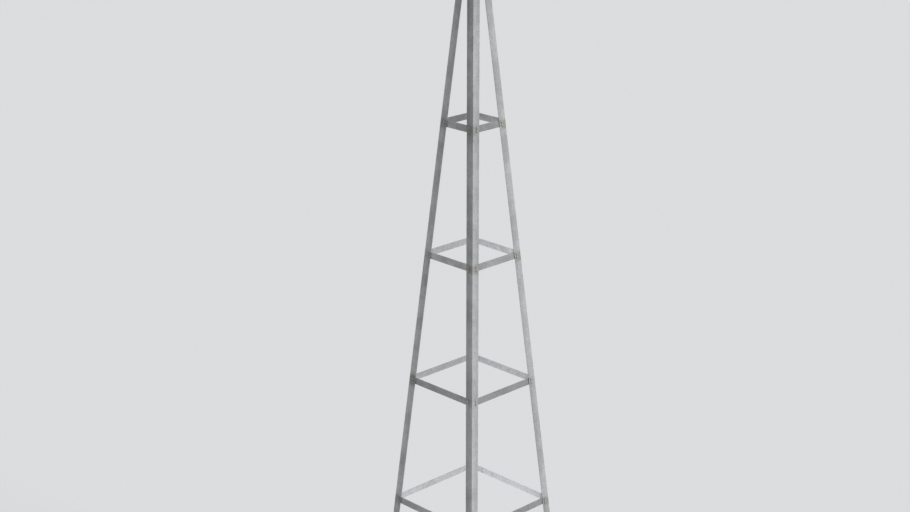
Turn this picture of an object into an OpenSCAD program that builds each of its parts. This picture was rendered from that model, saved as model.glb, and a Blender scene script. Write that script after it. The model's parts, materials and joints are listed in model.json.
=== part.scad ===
// Square lattice tower of a farm windmill: four leaning corner posts of rolled angle,
// tied at even levels by girts of flat bar that are bolted inside the post flanges.
// The tower stands on four foot plates and ends in a cast cap that holds the mast pipe.

/* [Tower] */
// Height of one bay, from girt level to girt level
bay_h = 1200; // [900:50:1500]
// Whole bays between the lowest girts and the cap
bays = 6; // [4:1:8]
// Side of the tower over the post heels, at the top level
top_side = 195; // [180:5:240]
// How much wider the tower gets with each bay down
flare = 203; // [140:1:260]
// Height of the lowest girts above the ground
first_level = 300; // [250:25:500]

/* [Corner posts] */
// Flange width of the post angle
post_w = 75; // [60:5:80]
// Thickness of the post angle
post_t = 6; // [5:1:8]
// Root fillet inside the post angle
post_root = 8; // [5:1:10]
// Girt level, counted from 1 at the bottom, below which the posts are spliced
splice_level = 3; // [2:1:4]
// How far below that girt level the splice is centred
splice_drop = 260; // [240:20:500]
// Length of the splice angle
splice_len = 300; // [200:20:320]
// Thickness of the splice angle
splice_t = 6; // [5:1:8]
// How far the splice toes stand back from the post toes
splice_inset = 7; // [5:1:15]

/* [Girts] */
// Height of the girt bar
girt_h = 60; // [45:5:70]
// Thickness of the girt bar
girt_t = 6; // [4:1:8]
// Space between a girt's end and the post flange it points at
girt_end = 14; // [12:1:20]

/* [Cap] */
// Level flange of the top cleats
cleat_w = 30; // [24:1:34]
// Upright flange of the top cleats
cleat_h = 60; // [50:5:90]
// Thickness of the top cleats
cleat_t = 6; // [5:1:8]
// Root fillet inside the top cleats
cleat_root = 6; // [4:1:8]
// Thickness of the cap plate
cap_t = 12; // [8:1:16]
// How far the cap plate reaches past the posts
cap_overhang = 10; // [5:1:25]
// Radius of the bore that takes the mast pipe
mast_r = 45; // [38:1:48]
// Height of the collar above the cap plate
collar_h = 120; // [100:10:180]
// Wall of the collar
collar_wall = 10; // [8:1:14]
// Fillet between the collar and the cap plate
collar_fillet = 8; // [4:1:10]
// Height of the bead round the collar's mouth
bead_h = 14; // [8:1:18]
// How far the bead stands out from the collar
bead_out = 5; // [3:1:8]
// Thickness of the four ribs that brace the collar
rib_t = 10; // [8:1:14]
// Height of the ribs above the cap plate
rib_h = 84; // [60:2:86]
// Height of a rib at its outer end, above the cap plate
rib_toe = 8; // [4:1:12]
// How far the ribs stop short of the plate's edge
rib_edge = 10; // [6:1:14]

/* [Feet] */
// Side of a foot plate
foot_w = 190; // [175:5:240]
// Thickness of a foot plate
foot_t = 12; // [8:1:20]
// How far a foot plate reaches outside the post heel
foot_edge = 45; // [35:5:60]
// Radius of a foot plate's corners
foot_round = 15; // [10:1:25]
// Height of the shoe angle that stands on the foot plate
shoe_h = 170; // [130:10:200]
// Thickness of the shoe angle
shoe_t = 6; // [5:1:8]
// Radius of the anchor bolt holes
anchor_r = 9; // [7:0.5:11]
// Distance of an anchor hole from the post toe
anchor_toe = 38; // [34:1:42]

/* [Fits] */
// Gap left between faces that are bolted together
seat = 0.05; // [0.02:0.01:0.1]
// Gap between the two post lengths at a splice
butt = 2; // [1:0.5:4]
// Gap between the mitred flanges where two top cleats meet
mitre = 3; // [2:0.5:6]

/* [Hidden] */
SIDES = ["south", "east", "north", "west"];
CORNERS = ["se", "ne", "nw", "sw"];
// Edge of the cubes that cut a piece off at a plane.
SPAN = 20000;
// Straight steps in each rounded corner of a rolled angle.
arc_steps = 4;
// Radius of a flange's toe, as a share of its thickness.
toe_share = 0.5;
// Radius of the slightly rounded heel of a rolled angle.
heel_r = 1;
// How much rounder the heel of a nested angle is than the root that it sits in.
nest_heel = 1;
// Facets of round pieces: bores, bolt holes and plate corners.
bore_fn = 64;
hole_fn = 32;
corner_fn = 48;
// Straight steps in the hollow edge of a rib.
rib_steps = 8;

top_level = first_level + bays * bay_h;
splice_z = first_level + (splice_level - 1) * bay_h - splice_drop;
cap_z = top_level + cleat_h / 2;

// The faces lean by the flare; the posts lean by the same flare along the diagonal.
face_lean = atan(flare / 2 / bay_h);
post_lean = atan(flare / 2 * sqrt(2) / bay_h);
// Two leaning faces meet at a little over a right angle.
corner_angle = 180 - acos(pow(sin(face_lean), 2));

// Half the side of the tower over the post heels at height z.
function half_side(z) = top_side / 2 + (top_level - z) * tan(face_lean);
// Height of a girt level, counted from 1 at the bottom.
function level_z(level) = first_level + (level - 1) * bay_h;

function arc(x, y, r, from, to) =
    [for (i = [0 : arc_steps]) let (a = from + (to - from) * i / arc_steps)
        [x + r * cos(a), y + r * sin(a)]];

// Outline of a rolled angle: flange a along x, flange b along y, heel at the origin.
function angle_outline(a, b, t, root, heel) =
    let (toe = t * toe_share)
    concat(
        arc(heel, heel, heel, 180, 270),
        [[a, 0]],
        arc(a - toe, t - toe, toe, 0, 90),
        arc(t + root, t + root, root, 270, 180),
        arc(t - toe, b - toe, toe, 0, 90),
        [[0, b]]
    );

// The same outline with its flanges opened to another angle, at the same thickness.
function opened(outline, angle) =
    [for (p = outline) [(p.x + p.y * cos(angle)) / sin(angle), p.y]];

// Puts children on face i: x level along the face, y into the tower, z up the slope.
module on_face(i)
    rotate([0, 0, 90 * i])
        translate([0, -half_side(0), 0])
            rotate([-face_lean, 0, 0])
                children();

// Puts children on corner i: z up the heel line, x outward along the diagonal.
module on_corner(i)
    rotate([0, 0, 90 * i - 45])
        translate([half_side(0) * sqrt(2), 0, 0])
            rotate([0, -post_lean, 0])
                children();

// A length of angle along heel line i between two heights, its outer faces set in
// from the faces of the tower by depth.
module corner_angle_bar(i, z0, z1, w, t, root, heel, depth)
    on_corner(i)
        translate([0, 0, z0 / cos(post_lean)])
            rotate([0, 0, 180 - corner_angle / 2])
                linear_extrude(height = (z1 - z0) / cos(post_lean))
                    polygon(opened([for (p = angle_outline(w, w, t, root, heel))
                        p + [depth, depth]], corner_angle));

module below(z) translate([-SPAN / 2, -SPAN / 2, z - SPAN]) cube(SPAN);
module above(z) translate([-SPAN / 2, -SPAN / 2, z]) cube(SPAN);

// Lower post length: cut level where it stands on the foot plate.
module post_lower(i)
    color("darkgray")
        difference() {
            corner_angle_bar(i, 0, splice_z - butt / 2, post_w, post_t, post_root, heel_r, 0);
            below(foot_t + seat);
        }

// Upper post length: cut level where the cap plate rests on it.
module post_upper(i)
    color("darkgray")
        difference() {
            corner_angle_bar(i, splice_z + butt / 2, cap_z + post_w, post_w, post_t, post_root,
                heel_r, 0);
            above(cap_z - seat);
        }

// Splice angle: nests in the root of the two post lengths.
module splice(i)
    color("darkgray")
        corner_angle_bar(i, splice_z - splice_len / 2, splice_z + splice_len / 2,
            post_w - post_t - splice_inset, splice_t, post_root, post_root + nest_heel,
            post_t + seat);

// Girt: a flat bar that lies in the leaning face, seated inside the post flanges.
module girt(level, i) {
    half = half_side(level_z(level)) - post_t - girt_end;
    color("silver")
        on_face(i)
            translate([-half, post_t + seat, level_z(level) / cos(face_lean) - girt_h / 2])
                cube([2 * half, girt_t, girt_h]);
}

// Cuts a piece of face i off at both diagonals of the tower, half the mitre gap short of
// them, so that the level flanges of two neighbours meet in a mitre.
module mitred(i)
    difference() {
        children();
        rotate([0, 0, 90 * i])
            for (end = [0, 1])
                mirror([end, 0, 0])
                    rotate([0, 0, -45])
                        translate([0, -mitre / 2, 0])
                            cube(SPAN);
    }

// Top cleat: upright flange follows the leaning face, upper flange lies level.
module cleat(i) {
    depth = post_t + seat;
    half = half_side(cap_z);
    heel_z = (cap_z - seat + depth * sin(face_lean)) / cos(face_lean);
    color("silver")
        mitred(i)
            on_face(i)
                translate([-half + post_t + girt_end, depth, heel_z])
                    rotate([90, 0, 90])
                        linear_extrude(height = 2 * (half - post_t - girt_end))
                            rotate(face_lean)
                                mirror([0, 1])
                                    polygon(opened(angle_outline(cleat_w, cleat_h, cleat_t,
                                        cleat_root, heel_r), 90 + face_lean));
}

module rounded_plate(side, thickness, r)
    linear_extrude(height = thickness)
        union() {
            square([side - 2 * r, side], center = true);
            square([side, side - 2 * r], center = true);
            for (x = [-1, 1], y = [-1, 1])
                translate([x * (side / 2 - r), y * (side / 2 - r)])
                    circle(r, $fn = corner_fn);
        }

// Collar: wall, fillet at the foot and bead round the mouth, turned about the axis.
module collar() {
    outer = mast_r + collar_wall;
    mouth = cap_t + collar_h;
    bead = outer + bead_out;
    rotate_extrude($fn = bore_fn)
        polygon(concat(
            [[mast_r, 0], [outer + collar_fillet, 0]],
            arc(outer + collar_fillet, cap_t + collar_fillet, collar_fillet, 270, 180),
            [[outer, mouth - bead_h - bead_out], [bead, mouth - bead_h]],
            arc(bead - bead_out / 2, mouth - bead_out / 2, bead_out / 2, 0, 90),
            [[mast_r, mouth]]
        ));
}

// Rib: stands on the plate along x, with a hollow outer edge.
module rib(reach) {
    inner = mast_r + collar_wall / 2;
    outer = mast_r + collar_wall;
    top = cap_t + rib_h;
    toe = cap_t + rib_toe;
    edge = [for (i = [0 : rib_steps]) let (a = 90 * i / rib_steps)
        [reach - (reach - outer) * sin(a), top - (top - toe) * cos(a)]];
    rotate([90, 0, 0])
        translate([0, 0, -rib_t / 2])
            linear_extrude(height = rib_t)
                polygon(concat([[inner, cap_t / 2], [reach, cap_t / 2]], edge, [[inner, top]]));
}

// Cap: one casting of plate, collar and four ribs, bored for the mast pipe.
module tower_cap() {
    side = 2 * (half_side(cap_z) + cap_overhang);
    color("gray")
        translate([0, 0, cap_z])
            difference() {
                union() {
                    rounded_plate(side, cap_t, cap_overhang);
                    collar();
                    for (i = [0 : 3])
                        rotate([0, 0, 90 * i])
                            rib(side / 2 - rib_edge);
                }
                translate([0, 0, -cap_t])
                    cylinder(r = mast_r, h = collar_h + 3 * cap_t, $fn = bore_fn);
            }
}

// Foot: plate with two anchor holes, and a shoe angle that stands up inside the post.
module foot(i) {
    heel = half_side(0);
    centre = heel + foot_edge - foot_w / 2;
    anchor_in = heel - post_w - anchor_toe;
    color("gray")
        difference() {
            union() {
                rotate([0, 0, 90 * i])
                    translate([centre, -centre, 0])
                        rounded_plate(foot_w, foot_t, foot_round);
                corner_angle_bar(i, 0, shoe_h, post_w - post_t - splice_inset, shoe_t,
                    post_root, post_root + nest_heel, post_t + seat);
            }
            below(0);
            rotate([0, 0, 90 * i])
                for (p = [[anchor_in, -heel + post_t], [heel - post_t, -anchor_in]])
                    translate([p.x, p.y, -foot_t])
                        cylinder(r = anchor_r, h = 3 * foot_t, $fn = hole_fn);
        }
}

for (i = [0 : 3])
    foot(i);
for (i = [0 : 3])
    post_lower(i);
for (i = [0 : 3])
    splice(i);
for (i = [0 : 3])
    post_upper(i);
for (level = [1 : bays], i = [0 : 3])
    girt(level, i);
for (i = [0 : 3])
    cleat(i);
tower_cap();
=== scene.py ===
"""Dresses the lattice tower of a farm windmill.

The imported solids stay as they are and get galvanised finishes. The script adds what holds
them together, which is bolts, washers, nuts, set screws and welds, and then the floor,
the lamps and the camera.
"""

import json
import logging
import math
from dataclasses import dataclass, replace
from enum import Enum
from typing import Any, Sequence

import bpy
import mathutils
import numpy as np
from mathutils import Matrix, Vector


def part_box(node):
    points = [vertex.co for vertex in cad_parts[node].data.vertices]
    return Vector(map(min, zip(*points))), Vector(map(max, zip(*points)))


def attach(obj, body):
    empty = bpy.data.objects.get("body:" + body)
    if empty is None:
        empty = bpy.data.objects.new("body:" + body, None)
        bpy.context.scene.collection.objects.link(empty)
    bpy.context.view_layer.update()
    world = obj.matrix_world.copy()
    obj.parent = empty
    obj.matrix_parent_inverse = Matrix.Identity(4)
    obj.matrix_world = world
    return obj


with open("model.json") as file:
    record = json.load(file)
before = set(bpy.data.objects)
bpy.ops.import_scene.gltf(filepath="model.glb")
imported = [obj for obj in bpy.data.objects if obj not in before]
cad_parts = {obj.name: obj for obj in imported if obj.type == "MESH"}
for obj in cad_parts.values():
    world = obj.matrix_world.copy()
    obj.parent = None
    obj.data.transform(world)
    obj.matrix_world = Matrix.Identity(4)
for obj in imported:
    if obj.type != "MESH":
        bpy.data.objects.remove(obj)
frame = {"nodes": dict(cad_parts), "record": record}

LOG = logging.getLogger("tower")
BODY = "root"
MM = 0.001
UP = np.array([0.0, 0.0, 1.0])
SIXTH = math.pi / 3  # a sixth of a turn
RIM = 0.98  # the share of half the cap's width past which a point is on its rim

Colour = tuple[float, float, float]
Span = tuple[float, float]


# ---- Shader expressions ----


class Wire:
    """A node's output socket that can be used in Python expressions.

    Operators on values add Math nodes. Colours and vectors have named methods.
    """

    def __init__(self, graph: "Graph", socket: bpy.types.NodeSocket | None) -> None:
        """Keeps the socket and the graph that it belongs to."""
        self.graph = graph
        self.socket = socket

    def _math(self, operation: str, *values: Any, clamp: bool = False) -> "Wire":
        """Adds a Math node. With clamp, its result is held between 0 and 1."""
        settings = {"operation": operation, "use_clamp": clamp}
        return self.graph.node("ShaderNodeMath", settings, dict(enumerate(values)))

    def _vector_math(self, operation: str, socket: Any, value: Any) -> "Wire":
        """Adds a Vector Math node that works on this vector and on a value."""
        values = {0: self, socket: value}
        return self.graph.node("ShaderNodeVectorMath", {"operation": operation}, values)

    def __add__(self, other: Any) -> "Wire":
        """Sum of two values."""
        return self._math("ADD", self, other)

    __radd__ = __add__

    def __sub__(self, other: Any) -> "Wire":
        """Difference of two values."""
        return self._math("SUBTRACT", self, other)

    def __rsub__(self, other: Any) -> "Wire":
        """Difference with this value taken away."""
        return self._math("SUBTRACT", other, self)

    def __mul__(self, other: Any) -> "Wire":
        """Product of two values."""
        return self._math("MULTIPLY", self, other)

    __rmul__ = __mul__

    def __truediv__(self, other: Any) -> "Wire":
        """Quotient of two values."""
        return self._math("DIVIDE", self, other)

    def __rtruediv__(self, other: Any) -> "Wire":
        """Quotient with this value below the line."""
        return self._math("DIVIDE", other, self)

    def __abs__(self) -> "Wire":
        """This value without its sign."""
        return self._math("ABSOLUTE", self)

    def root(self) -> "Wire":
        """The square root of this value."""
        return self._math("SQRT", self)

    def fract(self) -> "Wire":
        """The part of this value after the decimal point."""
        return self._math("FRACT", self)

    def clamped(self) -> "Wire":
        """This value held between 0 and 1."""
        return self._math("ADD", self, 0.0, clamp=True)

    def larger(self, other: Any) -> "Wire":
        """The larger of two values."""
        return self._math("MAXIMUM", self, other)

    def ramp(self, span: Span, results: Span = (0.0, 1.0)) -> "Wire":
        """Eases this value from one result to another.

        Args:
            span: The values at which the change starts and ends, in either order.
            results: What comes out at the start and at the end.

        Returns:
            The eased value, which stays at its ends outside the span.
        """
        (low, at_low), (high, at_high) = sorted(zip(span, results))
        settings = {"interpolation_type": "SMOOTHSTEP", "clamp": True}
        ends = {"From Min": low, "From Max": high, "To Min": at_low, "To Max": at_high}
        return self.graph.node("ShaderNodeMapRange", settings, {"Value": self, **ends})

    def part(self, axis: str) -> "Wire":
        """One coordinate of a vector, by its letter."""
        return self.graph.node("ShaderNodeSeparateXYZ", {}, {"Vector": self}, output=axis)

    def times(self, factors: Sequence[float]) -> "Wire":
        """A vector with each of its three coordinates multiplied."""
        return self._vector_math("MULTIPLY", 1, factors)

    def plus(self, other: "Wire") -> "Wire":
        """Sum of two vectors."""
        return self._vector_math("ADD", 1, other)

    def scaled(self, factor: Any) -> "Wire":
        """A vector with its length multiplied by a value."""
        return self._vector_math("SCALE", "Scale", factor)


class Graph:
    """Builds the node tree of a material or of the world."""

    def __init__(self, tree: bpy.types.NodeTree) -> None:
        """Keeps the tree and empties it."""
        self.tree = tree
        tree.nodes.clear()

    def node(self, kind: str, settings: dict[str, Any], values: dict[Any, Any],
             output: Any = 0) -> Wire:
        """Adds a node.

        Args:
            kind: The node's type.
            settings: Its properties, which are set first.
            values: What each input socket gets, by name or number: a wire or a constant.
            output: The output socket that is returned, by name or number.

        Returns:
            The chosen output, or an empty wire from a node that ends the tree.
        """
        made = self.tree.nodes.new(kind)
        for name, value in settings.items():
            setattr(made, name, value)
        for key, value in values.items():
            socket = made.inputs[key]
            if isinstance(value, Wire):
                self.tree.links.new(value.socket, socket)
            else:
                socket.default_value = value
        return Wire(self, made.outputs[output] if made.outputs else None)

    def place(self) -> Wire:
        """Object coordinates, in metres in the frame of the tower."""
        return self.node("ShaderNodeTexCoord", {}, {}, output="Object")

    def normal(self) -> Wire:
        """The way that the surface faces, as a unit vector."""
        return self.node("ShaderNodeNewGeometry", {}, {}, output="Normal")

    def blend(self, factor: Any, first: Any, second: Any) -> Wire:
        """Mixes two colours.

        The node has sockets for other kinds of value too. Those for colours are its inputs
        6 and 7 and its output 2.

        Args:
            factor: The share of the second colour.
            first: A wire, or a colour of three numbers.
            second: A wire, or a colour of three numbers.

        Returns:
            The mixed colour.
        """
        first, second = (c if isinstance(c, Wire) else (*c, 1.0) for c in (first, second))
        settings = {"data_type": "RGBA", "blend_type": "MIX", "clamp_factor": True}
        return self.node("ShaderNodeMix", settings, {0: factor, 6: first, 7: second}, output=2)

    def bump(self, height: Wire, distance: float) -> Wire:
        """The normal of a height map, in which 1 stands for a distance in metres."""
        values = {"Height": height, "Distance": distance}
        return self.node("ShaderNodeBump", {}, values, output="Normal")

    def surface(self, constants: dict[str, Any], varying: dict[str, Wire]) -> None:
        """Adds the Principled shader, by its constant and its varying sockets, and the output."""
        shader = self.node("ShaderNodeBsdfPrincipled", {}, {**constants, **varying})
        self.node("ShaderNodeOutputMaterial", {}, {"Surface": shader})


def new_material(name: str) -> tuple[bpy.types.Material, Graph]:
    """Makes an empty material.

    Args:
        name: The material's name.

    Returns:
        The material and the builder of its nodes.
    """
    material = bpy.data.materials.new(name)
    material.use_nodes = True
    return material, Graph(material.node_tree)


@dataclass(frozen=True)
class Noise:
    """Cloudy noise, whose value lies about a half.

    There are scale features in a metre and detail finer layers, each rough times as strong
    as the one before. An along_z below 1 draws the features out in height. With a span,
    the value is eased over it from the first of the results to the second.
    """

    scale: float
    detail: float = 3.0
    rough: float = 0.55
    along_z: float = 1.0
    span: Span | None = None
    results: Span = (0.0, 1.0)

    def _node(self, here: Wire, output: Any) -> Wire:
        """Adds the pattern's node.

        Args:
            here: The coordinates.
            output: The node's output, by name or number.

        Returns:
            The chosen output.
        """
        if self.along_z != 1.0:
            here = here.times((1.0, 1.0, self.along_z))
        values = {"Vector": here, "Scale": self.scale, "Detail": self.detail,
                  "Roughness": self.rough}
        settings = {"noise_dimensions": "3D"}
        return here.graph.node("ShaderNodeTexNoise", settings, values, output)

    def at(self, here: Wire) -> Wire:
        """The pattern's value at the coordinates."""
        value = self._node(here, 0)
        return value.ramp(self.span, self.results) if self.span else value

    def swing(self, here: Wire) -> Wire:
        """The pattern's value about zero instead of a half."""
        return self.at(here) - 0.5

    def vector(self, here: Wire) -> Wire:
        """Three independent values as one vector, to bend other patterns with."""
        return self._node(here, "Color")


# ---- The lines of the tower ----


class Side(Enum):
    """A face of the tower, by the number of quarter turns from the south face."""

    SOUTH = 0
    EAST = 1
    NORTH = 2
    WEST = 3

    @property
    def turn(self) -> np.ndarray:
        """The rotation that brings the south face round to this one.

        Returns:
            The matrix.
        """
        angle = self.value * math.pi / 2
        cos, sin = math.cos(angle), math.sin(angle)
        return np.array([[cos, -sin, 0.0], [sin, cos, 0.0], [0.0, 0.0, 1.0]])


@dataclass(frozen=True)
class Seat:
    """Where a fastener sits.

    It holds a point on the outer surface, the way that the head points, a direction along
    the surface, and the thickness that the fastener clamps.
    """

    point: np.ndarray
    outward: np.ndarray
    along: np.ndarray
    grip: float


def points_of(node: str) -> np.ndarray:
    """Reads the corner points of a solid.

    Args:
        node: The solid's name.

    Returns:
        One point in each row.
    """
    vertices = frame["nodes"][node].data.vertices
    points = np.empty(len(vertices) * 3, np.float32)
    vertices.foreach_get("co", points)
    return points.reshape(-1, 3).astype(float)


@dataclass(frozen=True)
class TowerLines:
    """The planes and levels of the tower, worked out from its solids.

    A face leans inward, so a point on it is half(height) from the axis. The flange is the
    depth of a post flange's inner side below the face, with the fit that the girts have.
    """

    foot_half: float
    foot_height: float
    lean: float
    flange: float
    flange_width: float
    girt_t: float
    girt_height: float
    levels: tuple[float, ...]
    splice_height: float
    cap_height: float
    cap_top: float

    @classmethod
    def from_frame(cls) -> "TowerLines":
        """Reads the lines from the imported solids.

        A girt is t thick and h high and leans by a, so its box is t cos a + h sin a deep
        and t sin a + h cos a high. Its lower outer edge lies t sin a above the box's floor.

        Returns:
            The tower's lines.
        """
        names = sorted(n for n in frame["nodes"] if n.startswith("girt_") and n.endswith("_south"))
        boxes = [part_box(n) for n in names]
        (low, high), (top_low, _top_high) = boxes[0], boxes[-1]
        lean = math.atan((top_low.y - low.y) / (top_low.z - low.z))
        cos, sin = math.cos(lean), math.sin(lean)
        depth, rise = high.y - low.y, high.z - low.z
        girt_t = (depth * cos - rise * sin) / (cos * cos - sin * sin)
        post_low, post_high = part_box("post_lower_se")
        face_there = post_high.x - (low.z + girt_t * sin - post_low.z) * math.tan(lean)
        post = points_of("post_lower_se")
        at_foot = post[post[:, 2] < post_low.z + girt_t]
        splice_low, splice_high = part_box("splice_se")
        cap = points_of("tower_cap")
        reach = np.abs(cap[:, :2]).max(axis=1)
        return cls(
            foot_half=post_high.x,
            foot_height=post_low.z,
            lean=lean,
            flange=(face_there + low.y) * cos,
            flange_width=float(np.ptp(at_foot[:, 0])),
            girt_t=girt_t,
            girt_height=(rise - girt_t * sin) / cos,
            levels=tuple((box[0].z + box[1].z) / 2 for box in boxes),
            splice_height=(splice_low.z + splice_high.z) / 2,
            cap_height=float(cap[:, 2].min()),
            cap_top=float(cap[reach > RIM * reach.max(), 2].max()),
        )

    def half(self, height: Any) -> Any:
        """Half the side of the tower at a height, which may be a number or a wire."""
        return self.foot_half - (height - self.foot_height) * math.tan(self.lean)

    @property
    def bay(self) -> float:
        """The distance between two levels."""
        return self.levels[1] - self.levels[0]

    def axes(self, side: Side) -> tuple[np.ndarray, np.ndarray]:
        """Unit vectors level along a face and square out of it."""
        outward = np.array([0.0, -math.cos(self.lean), math.sin(self.lean)])
        return side.turn @ np.array([1.0, 0.0, 0.0]), side.turn @ outward

    def on_face(self, side: Side, height: float, from_corner: float, end: int) -> np.ndarray:
        """A point on the outer surface of a face.

        Args:
            side: The face.
            height: The height of the point.
            from_corner: Its level distance from the corner line.
            end: -1 or 1, for the face's left or right corner from outside.

        Returns:
            The point.
        """
        along, _outward = self.axes(side)
        half = self.half(height)
        return np.cross(along, UP) * half + along * end * (half - from_corner) + UP * height


# ---- Surfaces worked out as arrays ----


def new_object(name: str, data: bpy.types.ID) -> bpy.types.Object:
    """Puts a mesh, a light or a camera into the scene.

    Args:
        name: The object's name.
        data: What the object holds.

    Returns:
        The object.
    """
    made = bpy.data.objects.new(name, data)
    bpy.context.scene.collection.objects.link(made)
    return made


def grid_quads(rows: int, columns: int, closed: bool) -> np.ndarray:
    """The four-sided faces of a grid of points that is stored row by row.

    Args:
        rows: Rows of points.
        columns: Points in each row.
        closed: Whether the last point of a row joins the first.

    Returns:
        One face in each row of the array, as point numbers.
    """
    row = np.arange(rows - 1)[:, None] * columns
    column = np.arange(columns if closed else columns - 1)[None, :]
    following = (column + 1) % columns
    corners = [row + column, row + following, row + columns + following, row + columns + column]
    return np.stack(corners, axis=-1).reshape(-1, 4)


@dataclass(frozen=True)
class Surface:
    """Points and the faces between them, where each array holds faces of one size."""

    points: np.ndarray
    faces: list[np.ndarray]

    @classmethod
    def swept(cls, sections: np.ndarray) -> "Surface":
        """A closed form from sections that follow one another, with a flat face at each end.

        Args:
            sections: Points by section and by place round it. Seen from the start, each
                section runs clockwise.

        Returns:
            The surface, with its faces outward.
        """
        count = sections.shape[1]
        first = np.arange(count)[None, :]
        last = first + (len(sections) - 1) * count
        sides = grid_quads(len(sections), count, True)
        return cls(sections.reshape(-1, 3), [sides, first[:, ::-1], last])

    @classmethod
    def stacked(cls, radius: np.ndarray, height: np.ndarray, angles: np.ndarray) -> "Surface":
        """A closed form of rising rings: (radius * cos(angle), radius * sin(angle), height)."""
        rings = np.broadcast_arrays(radius * np.cos(angles), radius * np.sin(angles), height)
        return cls.swept(np.stack(rings, axis=-1))

    def copies(self, origins: np.ndarray, frames: np.ndarray) -> "Surface":
        """Repeats the surface. A point p of copy n goes to origin n + frame n * p.

        Args:
            origins: One origin for each copy.
            frames: One rotation matrix for each copy, with its axes as columns.

        Returns:
            All copies as one surface.
        """
        placed = origins[:, None, :] + np.einsum("nij,pj->npi", frames, self.points)
        offsets = np.arange(len(origins))[:, None, None] * len(self.points)
        faces = [(face[None] + offsets).reshape(-1, face.shape[1]) for face in self.faces]
        return Surface(placed.reshape(-1, 3), faces)

    @staticmethod
    def joined(parts: Sequence["Surface"]) -> "Surface":
        """Several surfaces as one.

        Args:
            parts: The surfaces.

        Returns:
            One surface that holds them all.
        """
        offsets = np.cumsum([0] + [len(part.points) for part in parts[:-1]])
        faces = [face + offset for part, offset in zip(parts, offsets) for face in part.faces]
        return Surface(np.concatenate([part.points for part in parts]), faces)

    def to_object(self, name: str, material: bpy.types.Material, smooth: bool) -> bpy.types.Object:
        """Makes a piece of the scene that rides on the tower.

        Args:
            name: The piece's name.
            material: Its finish.
            smooth: Whether its shading is smooth.

        Returns:
            The object, at the origin, with its place in its mesh.
        """
        corners = np.concatenate([face.ravel() for face in self.faces]).astype(np.int32)
        sizes = np.concatenate([np.full(len(face), face.shape[1]) for face in self.faces])
        starts = np.concatenate([[0], np.cumsum(sizes)[:-1]]).astype(np.int32)
        mesh = bpy.data.meshes.new(name)
        mesh.vertices.add(len(self.points))
        mesh.vertices.foreach_set("co", self.points.astype(np.float32).ravel())
        mesh.loops.add(len(corners))
        mesh.loops.foreach_set("vertex_index", corners)
        mesh.polygons.add(len(starts))
        mesh.polygons.foreach_set("loop_start", starts)
        mesh.polygons.foreach_set("use_smooth", np.full(len(starts), smooth))
        mesh.update(calc_edges=True)
        mesh.materials.append(material)
        piece = new_object(name, mesh)
        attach(piece, BODY)
        return piece


# ---- Fasteners and welds ----


@dataclass(frozen=True)
class Bolt:
    """A hexagon bolt with a washer and a nut, by its thread radius and its wrench size.

    The cone on head and nut leaves them round at round_share of half the wrench size. Of
    the washer's thickness and the thread's radius, bevel_share goes into their bevels.
    """

    thread_r: float = 6.0 * MM
    flats: float = 19.0 * MM
    head_h: float = 7.5 * MM
    nut_h: float = 10.0 * MM
    washer_r: float = 12.0 * MM
    washer_t: float = 2.5 * MM
    tail: float = 5.0 * MM
    cone: float = math.radians(30.0)
    round_share: float = 0.94
    bevel_share: float = 0.2
    sides: int = 12

    @property
    def angles(self) -> np.ndarray:
        """The angles of the points of a ring."""
        return np.arange(self.sides) * 2 * math.pi / self.sides

    def hexagon(self, plain: float, turned: float) -> Surface:
        """A hexagonal block with one end turned to a cone.

        The radius at an angle is half the wrench size divided by the cosine of the angle
        from the middle of the nearest side. The cone takes off more where it is larger.

        Args:
            plain: The height of the plain end.
            turned: The height of the turned end, above or below the plain one.

        Returns:
            The closed block.
        """
        off_middle = (self.angles + SIXTH / 2) % SIXTH - SIXTH / 2
        full_r = self.flats / 2 / np.cos(off_middle)
        round_r = np.full(self.sides, self.flats / 2 * self.round_share)
        drop = (full_r - round_r) * math.tan(self.cone)
        way = 1 if turned > plain else -1
        radius = np.stack([full_r, full_r, round_r])
        height = np.stack(np.broadcast_arrays(plain, turned - way * drop, turned))
        return Surface.stacked(radius[::way], height[::way], self.angles)

    def disc(self, radii: Sequence[float], heights: Sequence[float]) -> Surface:
        """A round form about the axis, by the radius and the height of its rings, rising."""
        return Surface.stacked(np.array(radii)[:, None], np.array(heights)[:, None], self.angles)

    def outer_end(self) -> Surface:
        """The head, which stands on the outer surface at height 0."""
        return self.hexagon(0.0, self.head_h)

    def inner_end(self) -> Surface:
        """The washer, the nut and the end of the thread, below height 0.

        Returns:
            The three closed forms.
        """
        edge = self.washer_t * self.bevel_share
        lead = self.thread_r * self.bevel_share
        rim, thread = self.washer_r, self.thread_r
        top = -self.washer_t
        low = top - self.nut_h
        tip = low - self.tail
        return Surface.joined([
            self.disc([rim - edge, rim, rim, rim - edge], [top, top + edge, -edge, 0.0]),
            self.hexagon(top, low),
            self.disc([thread - lead, thread, thread], [tip, tip + lead, low]),
        ])

    def ends(self) -> list[tuple[Surface, float]]:
        """The outer and the inner end, each with its depth as a share of the grip."""
        return [(self.outer_end(), 0.0), (self.inner_end(), 1.0)]

    def set_into(self, seats: Sequence[Seat], turns: np.random.Generator) -> Surface:
        """Sets a fastener into each seat, with each of its ends turned by a random angle.

        Args:
            seats: Where the fasteners go.
            turns: The source of the angles.

        Returns:
            All the fasteners as one surface.
        """
        points = np.array([seat.point for seat in seats])
        outward = np.array([seat.outward for seat in seats])
        along = np.array([seat.along for seat in seats])
        grips = np.array([[seat.grip] for seat in seats])
        placed = []
        for shape, depth in self.ends():
            angle = turns.uniform(0.0, SIXTH, len(seats))[:, None]
            first = along * np.cos(angle) + np.cross(outward, along) * np.sin(angle)
            frames = np.stack([first, np.cross(outward, first), outward], axis=-1)
            placed.append(shape.copies(points - outward * grips * depth, frames))
        return Surface.joined(placed)


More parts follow.
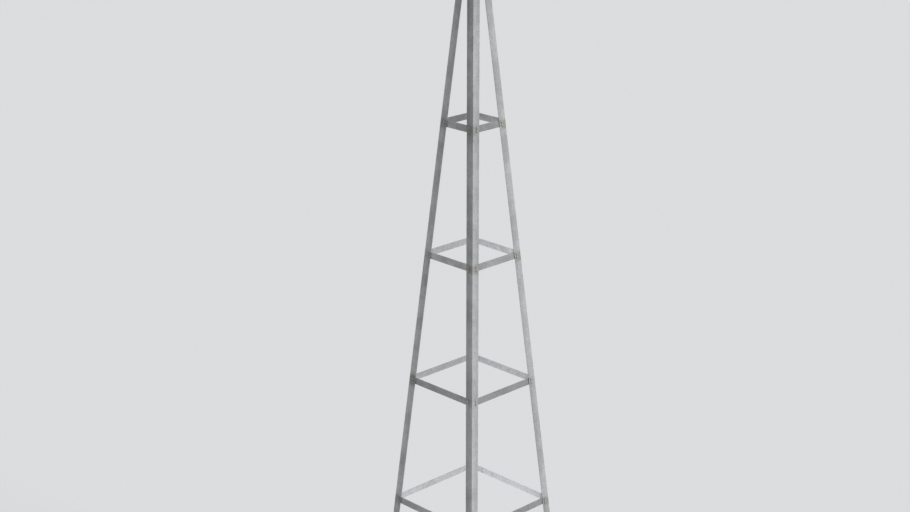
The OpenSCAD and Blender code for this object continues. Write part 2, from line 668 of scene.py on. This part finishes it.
@dataclass(frozen=True)
class SetScrew(Bolt):
    """A screw that goes into a wall, with a lock nut on it and a head outside."""

    thread_r: float = 5.0 * MM
    flats: float = 16.0 * MM
    head_h: float = 7.0 * MM
    nut_h: float = 6.0 * MM
    gap: float = 5.0 * MM

    def outer_end(self) -> Surface:
        """The lock nut on the wall, the bare thread and the head.

        Returns:
            The three closed forms.
        """
        head = self.nut_h + self.gap
        return Surface.joined([
            self.hexagon(0.0, self.nut_h),
            self.disc([self.thread_r, self.thread_r], [self.nut_h, head]),
            self.hexagon(head, head + self.head_h),
        ])

    def ends(self) -> list[tuple[Surface, float]]:
        """The outer end alone, because nothing else of a set screw shows."""
        return [(self.outer_end(), 0.0)]


@dataclass(frozen=True)
class WeldBead:
    """A fillet weld along a path, with the ripples that the welding leaves."""

    leg: float = 6.0 * MM
    ripple: float = 0.5 * MM
    pitch: float = 4.0 * MM
    step: float = 1.0 * MM
    flatten: float = 0.12
    least_taper: float = 0.05
    arc: int = 6

    def along(self, path: np.ndarray, outward: np.ndarray) -> Surface:
        """Carries the bead along a level path.

        The section at s is a quarter round of radius leg + ripple * |sin(pi * s / pitch)|,
        a little flattened, closed by the corner that it fills. It shrinks to almost nothing
        over one leg at each end.

        Args:
            path: The corners of the line where the plate meets the wall.
            outward: The way out of the wall at each corner of the path. At a bend it is
                the sum of the two ways, so that the stretches meet in a mitre.

        Returns:
            The closed bead.
        """
        knots = np.append(0.0, np.cumsum(np.linalg.norm(np.diff(path, axis=0), axis=1)))
        total = knots[-1]
        s = np.linspace(0.0, total, int(total / self.step) + 2)
        here = np.stack([np.interp(s, knots, path[:, k]) for k in range(3)], axis=-1)
        way = np.stack([np.interp(s, knots, outward[:, k]) for k in range(3)], axis=-1)
        taper = np.sqrt(np.clip(np.minimum(s, total - s) / self.leg, self.least_taper, 1.0))
        size = (self.leg + self.ripple * np.abs(np.sin(np.pi * s / self.pitch))) * taper
        angle = np.linspace(0.0, math.pi / 2, self.arc)
        swell = 1.0 - self.flatten * np.sin(2 * angle)
        out = np.append(0.0, np.cos(angle) * swell)
        up = np.append(0.0, np.sin(angle) * swell)
        section = way[:, None, :] * out[:, None] + UP * up[:, None]
        sections = here[:, None, :] + section * size[:, None, None]
        if np.cross(path[1] - path[0], UP) @ outward[0] > 0.0:
            sections = sections[:, ::-1]
        return Surface.swept(sections)


# ---- Where the fasteners go ----


@dataclass(frozen=True)
class Joints:
    """Lays out the bolts, screws and welds of the tower.

    The splices, the shoes and the cleats are nested: they stand inside the posts. A corner
    distance is level, along a face from the corner line, and drops and rises are upright.
    """

    tower: TowerLines
    big: Bolt = Bolt()
    small: Bolt = Bolt(thread_r=5.0 * MM, flats=16.0 * MM, head_h=6.4 * MM, nut_h=8.0 * MM,
                       washer_r=10.0 * MM, washer_t=2.0 * MM, tail=4.0 * MM)
    screw: SetScrew = SetScrew()
    weld: WeldBead = WeldBead()
    girt_pair: float = 15.0 * MM
    girt_corner: float = 47.5 * MM
    nested_corner: float = 42.0 * MM
    nested_t: float = 6.0 * MM
    splice_rises: tuple[float, ...] = (-115.0 * MM, -45.0 * MM, 45.0 * MM, 115.0 * MM)
    shoe_heights: tuple[float, ...] = (62.0 * MM, 125.0 * MM)
    shoe_toe: float = 68.0 * MM
    cleat_drops: tuple[float, ...] = (24.0 * MM, 46.0 * MM)
    cap_inset: float = 26.0 * MM
    cap_spread: float = 28.0 * MM
    collar_wall: float = 10.0 * MM
    screw_height: float = 74.0 * MM

    def _face_seats(self, heights: Sequence[float], corner: float, inner_t: float) -> list[Seat]:
        """Seats through a post and what stands inside it, at all corners of all faces.

        Args:
            heights: The heights of the bolts.
            corner: Their distance from the corner line.
            inner_t: The thickness of the piece inside the post.

        Returns:
            One seat for each face, height and end of the face.
        """
        seats = []
        for side in Side:
            along, outward = self.tower.axes(side)
            for height in heights:
                for end in (-1, 1):
                    point = self.tower.on_face(side, height, corner, end)
                    seats.append(Seat(point, outward, along, self.tower.flange + inner_t))
        return seats

    def girt_seats(self, level: int) -> list[Seat]:
        """Two bolts, one above the other, through each post flange and girt end of a level."""
        heights = [self.tower.levels[level] + rise for rise in (-self.girt_pair, self.girt_pair)]
        return self._face_seats(heights, self.girt_corner, self.tower.girt_t)

    def splice_seats(self) -> list[Seat]:
        """A row of bolts through each flange of the splices."""
        heights = [self.tower.splice_height + rise for rise in self.splice_rises]
        return self._face_seats(heights, self.nested_corner, self.nested_t)

    def shoe_seats(self) -> list[Seat]:
        """A row of bolts through each flange of the shoes."""
        return self._face_seats(self.shoe_heights, self.nested_corner, self.nested_t)

    def cleat_seats(self) -> list[Seat]:
        """Two bolts through each end of the top cleats."""
        heights = [self.tower.cap_height - drop for drop in self.cleat_drops]
        return self._face_seats(heights, self.girt_corner, self.nested_t)

    def cap_seats(self) -> list[Seat]:
        """Two upright bolts through the cap plate and each cleat.

        Returns:
            One seat for each bolt.
        """
        seats = []
        reach = self.tower.half(self.tower.cap_height) - self.cap_inset
        grip = self.tower.cap_top - self.tower.cap_height + self.nested_t
        for side in Side:
            along, _outward = self.tower.axes(side)
            middle = np.cross(along, UP) * reach + UP * self.tower.cap_top
            for spread in (-self.cap_spread, self.cap_spread):
                seats.append(Seat(middle + along * spread, UP, along, grip))
        return seats

    def screw_seats(self) -> list[Seat]:
        """A set screw in the collar's wall between each two ribs.

        Returns:
            One seat for each screw. Its grip is 0, as only the outer end is made.
        """
        bore = next(m for m in frame["record"]["mounts"] if m["name"] == "mast_bore")
        outer = bore["dims"]["r_mm"] * MM + self.collar_wall
        seats = []
        for side in Side:
            angle = (side.value + 0.5) * math.pi / 2
            outward = np.array([math.cos(angle), math.sin(angle), 0.0])
            point = outward * outer + UP * (self.tower.cap_top + self.screw_height)
            seats.append(Seat(point, outward, UP, 0.0))
        return seats

    def shoe_welds(self) -> Surface:
        """A bead on each foot plate, along the inner sides of the shoe's two flanges.

        Returns:
            The four beads as one surface.
        """
        height = self.tower.foot_height
        half = self.tower.half(height)
        inner = half - (self.tower.flange + self.nested_t) / math.cos(self.tower.lean)
        toe = half - self.shoe_toe
        path = np.array([[toe, -inner, height], [inner, -inner, height], [inner, -toe, height]])
        outward = np.array([[0.0, 1.0, 0.0], [-1.0, 1.0, 0.0], [-1.0, 0.0, 0.0]])
        bead = self.weld.along(path, outward)
        return bead.copies(np.zeros((len(Side), 3)), np.array([side.turn for side in Side]))


# ---- Finishes ----

SKIN_IOR = 1.5  # the refractive index of what covers the metal
GRAIN: Span = (0.3, 0.7)  # the values between which fine noise mostly lies


class Bar(Enum):
    """What a piece is cut from, which says where its long edges are."""

    ANGLE = "rolled angle"
    FLAT = "flat bar"


@dataclass(frozen=True)
class Spot:
    """A point of a surface in the shader, by its Object coordinates.

    It is measured against the lines and bolts of the tower, in metres.
    """

    here: Wire
    joints: Joints

    def half(self) -> Wire:
        """Half the side of the tower at the spot's height."""
        return self.joints.tower.half(self.here.part("Z"))

    def from_corner(self) -> Wire:
        """Distance from the nearest corner line: the larger of half - |x| and half - |y|."""
        half = self.half()
        return (half - abs(self.here.part("X"))).larger(half - abs(self.here.part("Y")))

    def below_level(self) -> Wire:
        """How far the spot is below the nearest girt level, or below 0 above that level."""
        start, bay = self.joints.tower.levels[0], self.joints.tower.bay
        return (0.5 - ((self.here.part("Z") - start) / bay + 0.5).fract()) * bay

    def from_bolt(self) -> Wire:
        """Distance from the axis of the nearest girt bolt, along the face.

        It is the root of the squared distances from the bolts' line and from their height.

        Returns:
            The distance.
        """
        aside = self.from_corner() - self.joints.girt_corner
        above = abs(self.below_level()) - self.joints.girt_pair
        return (aside * aside + above * above).root()

    def outwardness(self) -> Wire:
        """How far the surface faces away from the tower's axis.

        It is the sum of normal * place over x and y, divided by half.

        Returns:
            About 1 on the outer side of a flange or girt and -1 on the inner side.
        """
        normal = self.here.graph.normal()
        across = normal.part("X") * self.here.part("X") + normal.part("Y") * self.here.part("Y")
        return across / self.half()

    def edge_share(self, bar: Bar) -> Wire:
        """How close the spot is to a long edge of its piece.

        Args:
            bar: What the piece is cut from.

        Returns:
            The distance from the middle line, as a share of half the width.
        """
        tower = self.joints.tower
        if bar is Bar.FLAT:
            return abs(self.below_level()) / (tower.girt_height / 2 * math.cos(tower.lean))
        middle = tower.flange_width / 2
        return abs(self.from_corner() - middle) / middle


@dataclass(frozen=True)
class Finish:
    """A finish, by the name of its material."""

    name: str

    def material(self, joints: Joints) -> bpy.types.Material:
        """Builds the material.

        Args:
            joints: The lines of the tower and the places of its bolts.

        Returns:
            The material.
        """
        material, graph = new_material(self.name)
        graph.surface({"IOR": SKIN_IOR}, self.layers(Spot(graph.place(), joints)))
        return material

    def layers(self, spot: Spot) -> dict[str, Wire]:
        """What changes over the surface, by the shader's socket. Each finish has its own."""
        raise NotImplementedError


@dataclass(frozen=True)
class DirtAndShade:
    """Stains of grime and rust on the steel, and painted shade at the joints, as a share from 0 to
    1.

    It holds in a patch at each joint, which is grime and painted shade where a girt meets a
    post, in a ring round each bolt, in streaks that rain has drawn down from a joint, on
    ledges that face up, and as splashes near the ground. Each part has a share where it is
    full, and a Span of the measures at which it starts and is full, in metres, or for
    ledge_tilt the upward share of the normal. Noise moves these limits by the wanders.
    """

    colour: Colour = (0.165, 0.155, 0.12)
    # The joint patch is grime and painted shade where a girt meets a post; both take the colour
    # above.
    patch: float = 0.62
    patch_tall: Span = (0.062, 0.024)
    patch_wide: Span = (0.105, 0.040)
    patch_sag: float = 0.006
    ring: float = 0.5
    ring_size: Span = (0.023, 0.013)
    streak: float = 0.37
    streak_reach: Span = (0.42, 0.05)
    streak_start: Span = (-0.02, 0.02)
    streak_wide: Span = (0.10, 0.07)
    ledge: float = 0.32
    ledge_tilt: Span = (0.5, 0.95)
    splash: float = 0.35
    splash_reach: Span = (0.26, 0.04)
    broad_wander: float = 0.09
    fine_wander: float = 0.03
    splash_wander: float = 0.35
    broad: Noise = Noise(11.0, detail=4.0, rough=0.6)
    fine: Noise = Noise(75.0, rough=0.6)
    uneven: Noise = Noise(1.7, detail=1.0, span=(0.36, 0.60), results=(0.35, 1.0))
    trail: Noise = Noise(95.0, detail=2.0, along_z=0.03, span=(0.50, 0.66))

    def share(self, spot: Spot) -> Wire:
        """Works out the share of grime and of painted shade.

        Args:
            spot: The point of the surface.

        Returns:
            The share.
        """
        here, corner, below = spot.here, spot.from_corner(), spot.below_level()
        broad = self.broad.swing(here)
        fine = self.fine.swing(here) * self.fine_wander
        wander = broad * self.broad_wander + fine
        uneven = self.uneven.at(here)
        # The joint patch: grime and painted shade where a girt meets a post.
        tall = (abs(below - self.patch_sag) + wander).ramp(self.patch_tall)
        wide = (corner + wander).ramp(self.patch_wide)
        patch = tall * wide * uneven * self.patch
        ring = (spot.from_bolt() + fine).ramp(self.ring_size) * uneven * self.ring
        reach = below.ramp(self.streak_reach) * below.ramp(self.streak_start)
        streak = self.trail.at(here) * reach * corner.ramp(self.streak_wide) * self.streak
        upward = here.graph.normal().part("Z") + broad
        ledge = upward.ramp(self.ledge_tilt) * self.ledge
        height = here.part("Z") + broad * self.splash_wander
        splash = height.ramp(self.splash_reach) * self.splash
        return patch.larger(ring).larger(streak).larger(ledge).larger(splash)


@dataclass(frozen=True)
class Galvanised(Finish):
    """Hot-dip galvanised steel that has stood outside for years.

    The zinc shows crystals, called spangles. Patches of it have gone dull, more so high on
    the tower, rain has drawn streaks down it, and its edges are rubbed bright. Light and
    shade are painted on as well: the inner and the outer side of a piece get a tone each,
    the heel of an angle is painted lighter than its toes, and flanks that face along y can
    be painted in shade.

    A tone multiplies the colour. The noises for patch and streak give the share of dull
    zinc that they bring. The steps from one tone to the next lie over: facing, which is
    the outwardness, heel_to_toe in metres, flank, which is the share of the normal along
    y, and rubbed, which is the share of the way from the middle of a bar to its edge.
    """

    bright: Colour = (0.432, 0.442, 0.446)
    dull: Colour = (0.328, 0.335, 0.335)
    patch: Noise = Noise(4.0, detail=6.0, rough=0.6, span=(0.40, 0.62), results=(0.0, 0.70))
    streak: Noise = Noise(70.0, along_z=0.05, span=(0.42, 0.72), results=(0.0, 0.35))
    high: Span = (3.4, 7.2)
    high_dull: float = 0.38
    # Painted light and shade: a tone for the outer and one for the inner side of a piece.
    outer_light_tone: float = 1.0
    inner_light_tone: float = 1.0
    facing: Span = (-0.4, 0.4)
    # Painted highlight at the heel of an angle and painted shade towards its toes.
    heel_highlight_tone: float = 1.0
    toe_shade_tone: float = 1.0
    heel_to_toe: Span = (0.010, 0.070)
    # Painted shade on flanks that face along y.
    flank_shade_tone: float = 1.0
    flank: Span = (0.35, 0.65)
    bar: Bar = Bar.ANGLE
    rubbed: Span = (0.92, 0.98)
    rubbed_tone: float = 1.10
    rubbed_wander: float = 0.1
    spangle: float = 11.0 * MM
    bend: Noise = Noise(45.0, detail=2.0, rough=0.5)
    bend_share: float = 0.8
    crystal_tones: Span = (0.90, 1.08)
    speck: Noise = Noise(420.0, detail=2.0)
    speck_tones: Span = (0.96, 1.03)
    relief: float = 0.12 * MM
    metal: float = 0.55
    rough: float = 0.46
    rough_dull: float = 0.14
    rough_crystal: float = 0.06
    rough_dirt: float = 0.25
    dirt_and_shade: DirtAndShade = DirtAndShade()

    def _crystals(self, here: Wire) -> Wire:
        """A random value for each crystal.

        The crystals are the cells round random points, in coordinates that noise bends.

        Args:
            here: Object coordinates.

        Returns:
            The value, from 0 to 1.
        """
        bent = here.plus(self.bend.vector(here).scaled(self.spangle * self.bend_share))
        values = {"Vector": bent, "Scale": 1.0 / self.spangle}
        cells = here.graph.node("ShaderNodeTexVoronoi", {"feature": "F1"}, values, "Color")
        return cells.part("X")

    def _light_and_wear_tone(self, spot: Spot, speck: Wire) -> Wire:
        """The painted light and shade that a point gets from its side, its place across an angle and
        the way it faces, times its rubbed edges.

        Args:
            spot: The point of the surface.
            speck: Fine noise, which roughens the rubbed edges.

        Returns:
            The product of the tones.
        """
        # Painted light: the inner and the outer side of a piece get tones of their own.
        side = spot.outwardness().ramp(self.facing, (self.inner_light_tone, self.outer_light_tone))
        # Painted highlight near the heel, painted shade towards the toes.
        across = spot.from_corner().ramp(self.heel_to_toe, (self.heel_highlight_tone, self.toe_shade_tone))
        # Painted shade on the flanks that face along y.
        flank = abs(spot.here.graph.normal().part("Y")).ramp(self.flank, (1.0, self.flank_shade_tone))
        near_edge = spot.edge_share(self.bar) + (speck - 0.5) * self.rubbed_wander
        return side * across * flank * near_edge.ramp(self.rubbed, (1.0, self.rubbed_tone))

    def layers(self, spot: Spot) -> dict[str, Wire]:
        """Works out the zinc with its painted light and shade, and the grime on it with the painted
        shade at the joints.

        Args:
            spot: The point of the surface.

        Returns:
            What changes over the surface, by the shader's socket.
        """
        here = spot.here
        crystal, speck = self._crystals(here), self.speck.at(here)
        high = here.part("Z").ramp(self.high, (0.0, self.high_dull))
        dullness = (self.patch.at(here) + self.streak.at(here) + high).clamped()
        tint = crystal.ramp((0.0, 1.0), self.crystal_tones) * speck.ramp(GRAIN, self.speck_tones)
        # The crystal tint, times the painted light and shade and the rubbed edges.
        tone = tint * self._light_and_wear_tone(spot, speck)
        dirt_and_shade = self.dirt_and_shade.share(spot)
        colour = here.graph.blend(dullness, self.bright, self.dull).scaled(tone)
        rough = self.rough + dullness * self.rough_dull + crystal * self.rough_crystal
        return {
            "Base Color": here.graph.blend(dirt_and_shade, colour, self.dirt_and_shade.colour),
            "Metallic": (1.0 - dirt_and_shade) * self.metal,
            "Roughness": rough + dirt_and_shade * self.rough_dirt,
            "Normal": here.graph.bump((crystal + speck) / 2, self.relief),
        }


@dataclass(frozen=True)
class Casting(Finish):
    """A rough casting with a galvanised skin, worn in clouds and streaks, with pits in it.

    The noises for cloud and streak give the share of worn skin that they bring.
    """

    skin: Colour = (0.46, 0.47, 0.475)
    worn: Colour = (0.27, 0.265, 0.25)
    cloud: Noise = Noise(9.0, detail=5.0, span=(0.38, 0.64), results=(0.0, 0.45))
    streak: Noise = Noise(85.0, along_z=0.07, span=(0.50, 0.74), results=(0.0, 0.4))
    pits: Noise = Noise(160.0, detail=2.0, span=(0.36, 0.28))
    pits_worn: float = 0.5
    sand: Noise = Noise(650.0, rough=0.6)
    sand_tones: Span = (0.92, 1.06)
    metal: float = 0.6
    metal_worn: float = 0.3
    rough: float = 0.5
    rough_worn: float = 0.2
    sand_relief: float = 0.7
    pits_relief: float = 0.6
    relief: float = 0.35 * MM

    def layers(self, spot: Spot) -> dict[str, Wire]:
        """Works out the skin and its wear.

        Args:
            spot: The point of the surface.

        Returns:
            What changes over the surface, by the shader's socket.
        """
        here = spot.here
        sand, pits = self.sand.at(here), self.pits.at(here)
        worn = (self.cloud.at(here) + self.streak.at(here) + pits * self.pits_worn).clamped()
        colour = here.graph.blend(worn, self.skin, self.worn)
        relief = sand * self.sand_relief - pits * self.pits_relief
        return {
            "Base Color": colour.scaled(sand.ramp(GRAIN, self.sand_tones)),
            "Metallic": self.metal - worn * self.metal_worn,
            "Roughness": self.rough + worn * self.rough_worn,
            "Normal": here.graph.bump(relief, self.relief),
        }


@dataclass(frozen=True)
class Hardware(Finish):
    """Spun galvanised bolts and nuts, dulled, with clouds of rust."""

    zinc: Colour = (0.36, 0.36, 0.35)
    rusty: Colour = (0.15, 0.105, 0.07)
    rust: Noise = Noise(55.0, detail=4.0, rough=0.65, span=(0.46, 0.66), results=(0.0, 0.55))
    grain: Noise = Noise(900.0, detail=2.0)
    grain_tones: Span = (0.9, 1.08)
    metal: float = 0.6
    rough: float = 0.42
    rough_rust: float = 0.5
    relief: float = 0.08 * MM

    def layers(self, spot: Spot) -> dict[str, Wire]:
        """Works out the zinc and its rust.

        Args:
            spot: The point of the surface.

        Returns:
            What changes over the surface, by the shader's socket.
        """
        here = spot.here
        rust, grain = self.rust.at(here), self.grain.at(here)
        colour = here.graph.blend(rust, self.zinc, self.rusty)
        return {
            "Base Color": colour.scaled(grain.ramp(GRAIN, self.grain_tones)),
            "Metallic": (1.0 - rust) * self.metal,
            "Roughness": self.rough + rust * self.rough_rust,
            "Normal": here.graph.bump(grain, self.relief),
        }


# Painted light on the posts: outer sides a little brighter, heels painted lighter and toes darker.
POST = Galvanised("galvanised_post", outer_light_tone=1.03, heel_highlight_tone=1.05, toe_shade_tone=0.92)
GIRT = Galvanised("galvanised_girt", bar=Bar.FLAT)

# The finish of the girts in each face. As painted light, their inner sides are painted brighter than
# their outer sides, most on the north face, and the east girts' outer sides are painted in shade.
GIRTS: dict[str, Galvanised] = {
    "girt_south": replace(GIRT, name="galvanised_girt_south", outer_light_tone=0.97, inner_light_tone=1.35),
    "girt_east": replace(GIRT, name="galvanised_girt_east", outer_light_tone=0.77, inner_light_tone=1.35),
    "girt_north": replace(GIRT, name="galvanised_girt_north", outer_light_tone=0.92, inner_light_tone=2.05,
                          metal=0.75),
    "girt_west": replace(GIRT, name="galvanised_girt_west", outer_light_tone=0.92, inner_light_tone=1.42),
}

# The finishes by a solid's whole name, by its kind and place, or by its kind alone.
FINISHES: dict[str, Finish] = {
    "post": POST,
    # The near corner post: its flanges that face along y are painted in shade.
    "post_se": replace(POST, name="galvanised_post_se", flank_shade_tone=0.86),
    "splice": Galvanised("galvanised_splice", outer_light_tone=0.95),
    **GIRTS,
    "cleat": Galvanised("galvanised_cleat"),
    "foot": Galvanised("galvanised_foot", bright=(0.37, 0.375, 0.375),
                       dull=(0.28, 0.28, 0.275), rough=0.5),
    "tower_cap": Casting("cap_casting"),
}
WELD = Galvanised("galvanised_weld", bright=(0.40, 0.40, 0.39), dull=(0.26, 0.25, 0.23),
                  rough=0.55)

# How bright the outer and the inner side of single girts are beside the other girts of
# their face, as factors on the tones of the face.
BAR_TONES: dict[str, Span] = {
    "girt_3_east": (0.92, 0.95),
    "girt_3_north": (1.0, 1.1),
    "girt_4_south": (0.87, 0.9),
    "girt_4_east": (0.88, 0.9),
    "girt_4_west": (0.9, 0.8),
    "girt_5_south": (1.12, 1.05),
    "girt_5_east": (1.09, 1.05),
    "girt_5_north": (1.05, 1.1),
    "girt_6_east": (0.93, 0.95),
    "girt_6_north": (0.9, 0.72),
    "girt_6_west": (0.9, 0.6),
}


# ---- Dressing the tower ----


@dataclass(frozen=True)
class Dressing:
    """Gives every solid of the tower its finish and adds the fasteners and welds."""

    joints: Joints
    seed: int = 7

    @staticmethod
    def bar_finish(bar: str) -> Galvanised:
        """The finish of a girt that has tones of its own.

        Args:
            bar: The girt's name.

        Returns:
            The finish of its face, with its outer and its inner tone changed.
        """
        face = GIRTS["girt_" + bar.split("_")[-1]]
        outer, inner = BAR_TONES[bar]
        return replace(face, name="galvanised_" + bar, outer_light_tone=face.outer_light_tone * outer,
                       inner_light_tone=face.inner_light_tone * inner)

    def finish_solids(self) -> None:
        """Puts on each solid the finish that fits its name most closely."""
        finishes = FINISHES | {bar: self.bar_finish(bar) for bar in BAR_TONES}
        made = {key: finish.material(self.joints) for key, finish in finishes.items()}
        for name, solid in frame["nodes"].items():
            kind, place = name.split("_")[0], name.split("_")[-1]
            material = next(made[key] for key in (name, f"{kind}_{place}", kind) if key in made)
            solid.data.materials.clear()
            solid.data.materials.append(material)
            LOG.info("%s: %s", name, material.name)

    def add(self, name: str, surface: Surface, material: bpy.types.Material, slot: str,
            smooth: bool = False) -> None:
        """Adds a piece.

        Args:
            name: The piece's name.
            surface: Its form.
            material: Its finish.
            slot: Not used.
            smooth: Whether its shading is smooth.
        """
        piece = surface.to_object(name, material, smooth)
        LOG.info("%s: %d points", name, len(surface.points))

    def add_fasteners(self) -> None:
        """Adds every bolt, set screw and weld."""
        joints = self.joints
        zinc = Hardware("bolt_zinc").material(joints)
        turns = np.random.default_rng(self.seed)
        runs = [(f"girt_bolts_{level + 1}", joints.big, joints.girt_seats(level), "girt_steel")
                for level in range(len(joints.tower.levels))]
        runs += [
            ("splice_bolts", joints.big, joints.splice_seats(), "post_steel"),
            ("shoe_bolts", joints.big, joints.shoe_seats(), "foot_steel"),
            ("cleat_bolts", joints.small, joints.cleat_seats(), "girt_steel"),
            ("cap_bolts", joints.small, joints.cap_seats(), "cap_iron"),
            ("set_screws", joints.screw, joints.screw_seats(), "cap_iron"),
        ]
        for name, fastener, seats, slot in runs:
            self.add(name, fastener.set_into(seats, turns), zinc, slot)
        self.add("shoe_welds", joints.shoe_welds(), WELD.material(joints), "foot_steel", smooth=True)


# ---- The studio ----


@dataclass(frozen=True)
class Lamp:
    """A wide soft light from far away, which is even over the whole tower and floor.

    Azimuth 0 stands on the south side and 90 on the east side.
    """

    name: str
    azimuth: float
    elevation: float
    width: float
    power: float

    def build(self) -> None:
        """Makes the lamp."""
        turn, rise = math.radians(self.azimuth), math.radians(self.elevation)
        way = mathutils.Vector((math.sin(turn) * math.cos(rise),
                                -math.cos(turn) * math.cos(rise), math.sin(rise)))
        light = bpy.data.lights.new(self.name, "SUN")
        light.angle = math.radians(self.width)
        light.energy = self.power
        lamp = new_object(self.name, light)
        lamp.rotation_euler = (-way).to_track_quat("-Z", "Y").to_euler()


@dataclass(frozen=True)
class Camera:
    """A long lens above the top of the tower, which looks down at a corner post.

    Its distance is in bays from the axis, and its height in bays above a level.
    """

    azimuth: float = 45.0
    bays_away: float = 12.175
    bays_up: float = 4.145
    level: int = 4
    pitch: float = -18.87
    turn: float = -0.61
    lens: float = 68.95
    sensor: float = 36.0

    def build(self, tower: TowerLines) -> None:
        """Makes the camera and gives it to the scene.

        Args:
            tower: The lines that give the distances their scale.
        """
        around, pitch, turn = (math.radians(a) for a in (self.azimuth, self.pitch, self.turn))
        right = np.array([math.cos(around), math.sin(around), 0.0])
        away = np.array([-math.sin(around), math.cos(around), 0.0])
        level_way = right * math.sin(turn) + away * math.cos(turn)
        forward = level_way * math.cos(pitch) + UP * math.sin(pitch)
        height = tower.levels[self.level] + self.bays_up * tower.bay
        data = bpy.data.cameras.new("camera")
        data.lens = self.lens
        data.sensor_width = self.sensor
        camera = new_object("camera", data)
        camera.location = -away * self.bays_away * tower.bay + UP * height
        camera.rotation_mode = "QUATERNION"
        camera.rotation_quaternion = mathutils.Vector(forward).to_track_quat("-Z", "Y")
        bpy.context.scene.camera = camera


@dataclass(frozen=True)
class Studio:
    """A pale floor, soft lamps and a plain sky."""

    floor_half: float = 400.0
    floor_colour: Colour = (0.78, 0.79, 0.80)
    sky_colour: Colour = (0.708, 0.7206, 0.7316)
    sky_strength: float = 0.373
    lamps: tuple[Lamp, ...] = (
        Lamp("key", azimuth=112.0, elevation=36.0, width=34.0, power=3.05),
        Lamp("fill", azimuth=-110.0, elevation=50.0, width=60.0, power=0.3),
    )

    def build(self) -> None:
        """Makes the floor, the lamps and the sky."""
        self._floor()
        for lamp in self.lamps:
            lamp.build()
            LOG.info("lamp %s", lamp.name)
        self._sky()
        bpy.context.scene.view_settings.view_transform = "Standard"

    def _floor(self) -> None:
        """Makes the floor, a grid of two by two points at height 0."""
        reach = np.array([-self.floor_half, self.floor_half])
        across, along = np.meshgrid(reach, reach)
        points = np.stack([across, along, np.zeros_like(across)], axis=-1).reshape(-1, 3)
        mesh = bpy.data.meshes.new("floor")
        mesh.from_pydata(points.tolist(), [], grid_quads(2, 2, False).tolist())
        material, graph = new_material("floor_paint")
        colour = (*self.floor_colour, 1.0)
        graph.surface({"Base Color": colour, "Roughness": 1.0, "Specular IOR Level": 0.0}, {})
        mesh.materials.append(material)
        floor = new_object("floor", mesh)

    def _sky(self) -> None:
        """Lights the scene evenly from all round, with a pale sky behind."""
        world = bpy.data.worlds.new("sky")
        world.use_nodes = True
        bpy.context.scene.world = world
        graph = Graph(world.node_tree)
        seen = graph.node("ShaderNodeLightPath", {}, {}, output="Is Camera Ray")
        for ray in ("Is Glossy Ray", "Is Transmission Ray"):
            seen = seen.larger(graph.node("ShaderNodeLightPath", {}, {}, output=ray))
        strength = seen * (1.0 - self.sky_strength) + self.sky_strength
        values = {"Color": (*self.sky_colour, 1.0), "Strength": strength}
        light = graph.node("ShaderNodeBackground", {}, values)
        graph.node("ShaderNodeOutputWorld", {}, {"Surface": light})


def main() -> None:
    """Dresses the tower, sets the studio and reports each piece."""
    logging.basicConfig(level=logging.INFO, format="%(name)s: %(message)s")
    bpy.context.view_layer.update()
    tower = TowerLines.from_frame()
    LOG.info("lean %.3f degrees, flange %.2f mm, girt %.2f mm, bay %.3f m",
             math.degrees(tower.lean), tower.flange / MM, tower.girt_t / MM, tower.bay)
    dressing = Dressing(Joints(tower))
    dressing.finish_solids()
    dressing.add_fasteners()
    Studio().build()
    Camera().build(tower)


if __name__ == "__main__":
    main()
